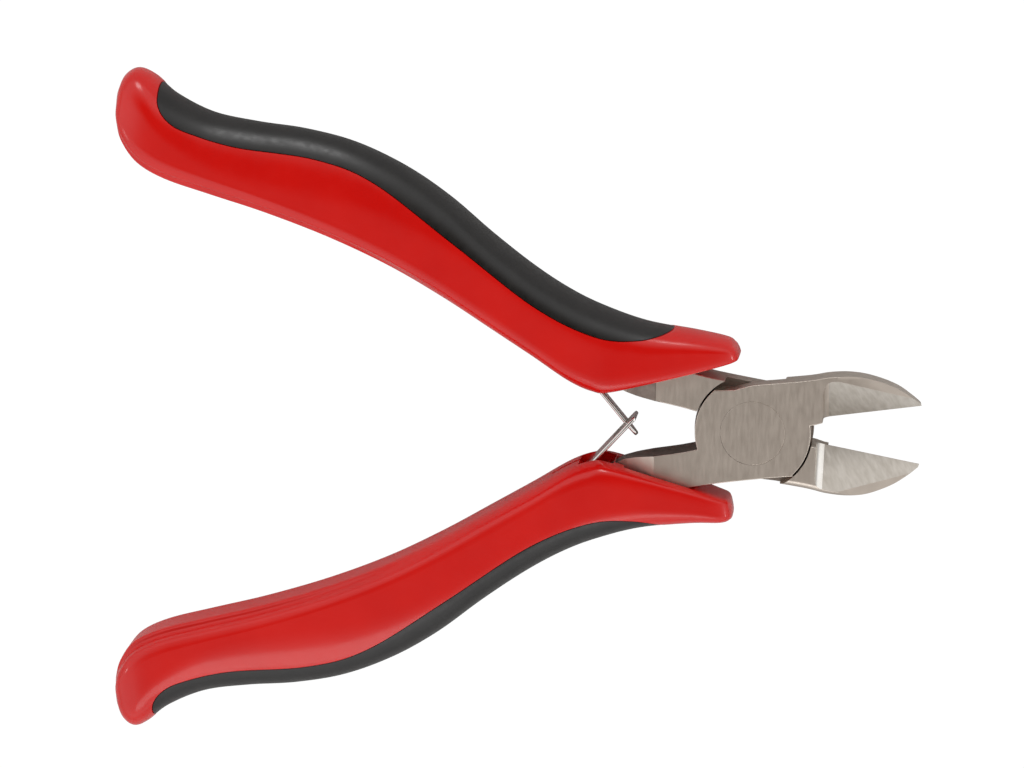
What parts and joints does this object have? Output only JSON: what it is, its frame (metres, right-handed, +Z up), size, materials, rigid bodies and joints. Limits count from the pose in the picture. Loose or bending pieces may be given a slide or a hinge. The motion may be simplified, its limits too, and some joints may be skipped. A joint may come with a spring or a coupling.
{
  "type": "diagonal cutting pliers",
  "caption": "Mini diagonal cutting pliers with a riveted lap joint, hard-and-soft grips and crossed wire springs that hold the handles open.",
  "frame": {"origin": "middle of the footprint, on the surface the grips lie on", "axes": "+X towards the jaws, +Y towards the rear handle, +Z up through the thickness"},
  "size_m": [0.1084, 0.0908, 0.012],
  "materials": {
    "steel": "satin ground steel, warm grey",
    "red_plastic": "glossy hard red plastic",
    "black_rubber": "soft black rubber, satin",
    "spring_steel": "bright drawn spring wire"
  },
  "bodies": {
    "front_arm": {"front_lever": "steel", "front_sleeve": "red_plastic", "front_insert": "black_rubber", "pivot_rivet": "steel"},
    "rear_arm": {"rear_lever": "steel", "rear_sleeve": "red_plastic", "rear_insert": "black_rubber"},
    "front_wire": {"front_spring": "spring_steel"},
    "rear_wire": {"rear_spring": "spring_steel"}
  },
  "joints": [
    {"name": "pivot", "type": "hinge", "parent": "front_arm", "child": "rear_arm", "pos_m": [0.03204, 0, 0.006], "axis": [0, 0, 1], "range_deg": [0, 20], "stiffness_Nm_per_rad": 0.3},
    {"name": "front_wire_bend", "type": "hinge", "parent": "front_arm", "child": "front_wire", "pos_m": [0.01064, -0.0053, 0.006], "axis": [0, 0, 1], "range_deg": [-25, 0]},
    {"name": "rear_wire_bend", "type": "hinge", "parent": "rear_arm", "child": "rear_wire", "pos_m": [0.01064, 0.0053, 0.006], "axis": [0, 0, 1], "range_deg": [0, 25]}
  ],
  "couplings": [
    {"joint": "front_wire_bend", "follows": "pivot", "ratio": -1.18},
    {"joint": "rear_wire_bend", "follows": "pivot", "ratio": 1.18}
  ]
}
